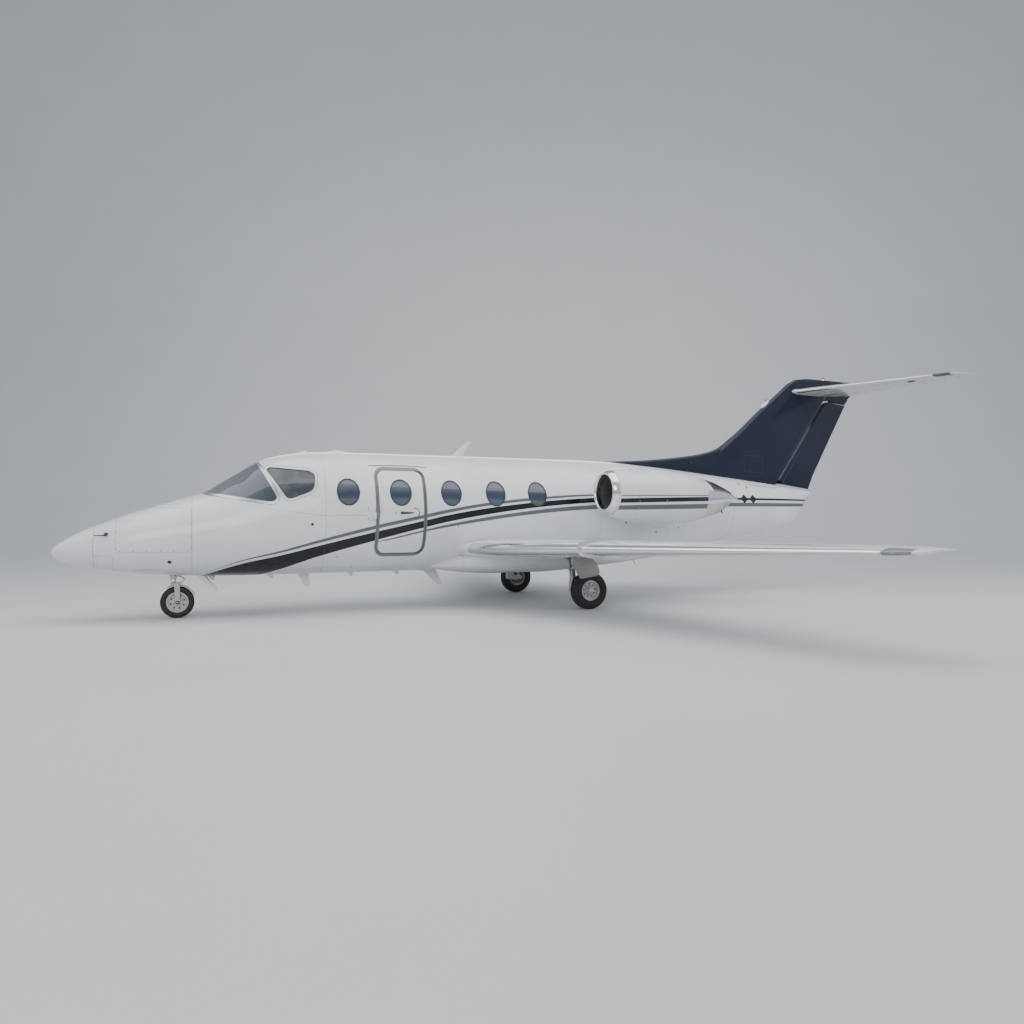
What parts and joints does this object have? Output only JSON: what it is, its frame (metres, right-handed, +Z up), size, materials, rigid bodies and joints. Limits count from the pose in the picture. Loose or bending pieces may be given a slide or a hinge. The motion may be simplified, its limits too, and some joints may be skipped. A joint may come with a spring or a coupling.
{
  "type": "business jet",
  "caption": "Light twin-engined business jet with a low swept wing and T-tail, standing on its landing gear, with an opening cabin door and moving control surfaces.",
  "frame": {"origin": "on the ground under the middle of the aircraft, at the bottom centre of its bounding box", "axes": "+X points aft along the fuselage (the nose is at -X), +Y to starboard, +Z up"},
  "size_m": [14.76, 13.25, 4.24],
  "materials": {
    "white_skin": "gloss paint over aluminium",
    "dark_skin": "dark blue gloss paint over aluminium",
    "nose_plastic": "gloss paint over moulded plastic",
    "polished_skin": "polished",
    "fan_metal": "satin",
    "cabin_trim": "covered in leather and cloth",
    "gear_steel": "satin",
    "engine_steel": "dull",
    "tyre": "matt",
    "glass": "clear, tinted"
  },
  "bodies": {
    "airframe": {"belly_antenna": "white_skin", "belly_fairing": "white_skin", "cabin_floor": "cabin_trim", "cabin_shell": "white_skin", "cabin_window_left_1": "glass", "cabin_window_left_3": "glass", "cabin_window_left_4": "glass", "cabin_window_left_5": "glass", "cabin_window_right_1": "glass", "cabin_window_right_2": "glass", "cabin_window_right_3": "glass", "cabin_window_right_4": "glass", "cabin_window_right_5": "glass", "cockpit_shell": "white_skin", "engine_core_left": "engine_steel", "engine_core_right": "engine_steel", "fin": "dark_skin", "front_antenna": "white_skin", "instrument_panel": "cabin_trim", "main_leg_left": "gear_steel", "main_leg_right": "gear_steel", "nacelle_left": "white_skin", "nacelle_right": "white_skin", "nose_bay_door_left": "white_skin", "nose_bay_door_right": "white_skin", "nose_leg": "gear_steel", "nose_section": "white_skin", "nozzle_left": "polished_skin", "nozzle_right": "polished_skin", "radome": "nose_plastic", "side_window_left": "glass", "side_window_right": "glass", "tail_section": "white_skin", "tailplane": "white_skin", "top_antenna": "white_skin", "windshield_left": "glass", "windshield_right": "glass", "wing_left": "white_skin", "wing_right": "white_skin"},
    "nose_fork": {"nose_fork": "gear_steel"},
    "nose_wheel": {"nose_wheel": "tyre"},
    "main_wheel_left": {"main_wheel_left": "tyre"},
    "main_wheel_right": {"main_wheel_right": "tyre"},
    "cabin_door": {"cabin_door": "white_skin", "door_window": "glass"},
    "rudder": {"rudder": "dark_skin"},
    "elevator_left": {"elevator_left": "white_skin"},
    "elevator_right": {"elevator_right": "white_skin"},
    "flap_left": {"flap_left": "white_skin"},
    "flap_right": {"flap_right": "white_skin"},
    "spoiler_left": {"spoiler_left": "white_skin"},
    "spoiler_right": {"spoiler_right": "white_skin"},
    "fan_left": {"fan_left": "fan_metal"},
    "fan_right": {"fan_right": "fan_metal"}
  },
  "joints": [
    {"name": "nose_steer", "type": "hinge", "parent": "airframe", "child": "nose_fork", "pos_m": [-5.88, 0, 0.5], "axis": [0, 0, 1], "range_deg": [-45, 45]},
    {"name": "nose_wheel_spin", "type": "hinge", "parent": "nose_fork", "child": "nose_wheel", "pos_m": [-5.827, 0, 0.225], "axis": [0, 1, 0], "continuous": true},
    {"name": "main_wheel_left_spin", "type": "hinge", "parent": "airframe", "child": "main_wheel_left", "pos_m": [0.043, -1.42, 0.29], "axis": [0, 1, 0], "continuous": true},
    {"name": "main_wheel_right_spin", "type": "hinge", "parent": "airframe", "child": "main_wheel_right", "pos_m": [0.043, 1.42, 0.29], "axis": [0, 1, 0], "continuous": true},
    {"name": "door_swing", "type": "hinge", "parent": "airframe", "child": "cabin_door", "pos_m": [-3.145, -0.862, 1.5], "axis": [0, 0, -1], "range_deg": [0, 110]},
    {"name": "rudder_swing", "type": "hinge", "parent": "airframe", "child": "rudder", "pos_m": [5.12, 0, 2.06], "axis": [0.5877, 0, 0.809], "range_deg": [-25, 25]},
    {"name": "elevator_left_swing", "type": "hinge", "parent": "airframe", "child": "elevator_left", "pos_m": [6.49556, -0.15, 3.96526], "axis": [-0.2929, 0.9559, -0.0221], "range_deg": [-25, 15]},
    {"name": "elevator_right_swing", "type": "hinge", "parent": "airframe", "child": "elevator_right", "pos_m": [6.49556, 0.15, 3.96526], "axis": [0.2929, 0.9559, 0.0221], "range_deg": [-25, 15]},
    {"name": "flap_left_swing", "type": "hinge", "parent": "airframe", "child": "flap_left", "pos_m": [0.08121, -1.12, 0.7834], "axis": [-0.2027, 0.9776, -0.0565], "range_deg": [0, 30]},
    {"name": "flap_right_swing", "type": "hinge", "parent": "airframe", "child": "flap_right", "pos_m": [0.08121, 1.12, 0.7834], "axis": [0.2027, 0.9776, 0.0565], "range_deg": [0, 30]},
    {"name": "spoiler_left_swing", "type": "hinge", "parent": "airframe", "child": "spoiler_left", "pos_m": [0.15058, -3.05, 1.08942], "axis": [0.2515, -0.9677, 0.0184], "range_deg": [0, 45]},
    {"name": "spoiler_right_swing", "type": "hinge", "parent": "airframe", "child": "spoiler_right", "pos_m": [0.15058, 3.05, 1.08942], "axis": [-0.2515, -0.9677, -0.0184], "range_deg": [0, 45]},
    {"name": "fan_left_spin", "type": "hinge", "parent": "airframe", "child": "fan_left", "pos_m": [0.75, -1.32, 1.8], "axis": [1, 0, 0], "continuous": true},
    {"name": "fan_right_spin", "type": "hinge", "parent": "airframe", "child": "fan_right", "pos_m": [0.75, 1.32, 1.8], "axis": [1, 0, 0], "continuous": true}
  ],
  "couplings": [
    {"joint": "elevator_right_swing", "follows": "elevator_left_swing", "ratio": 1},
    {"joint": "flap_right_swing", "follows": "flap_left_swing", "ratio": 1}
  ]
}
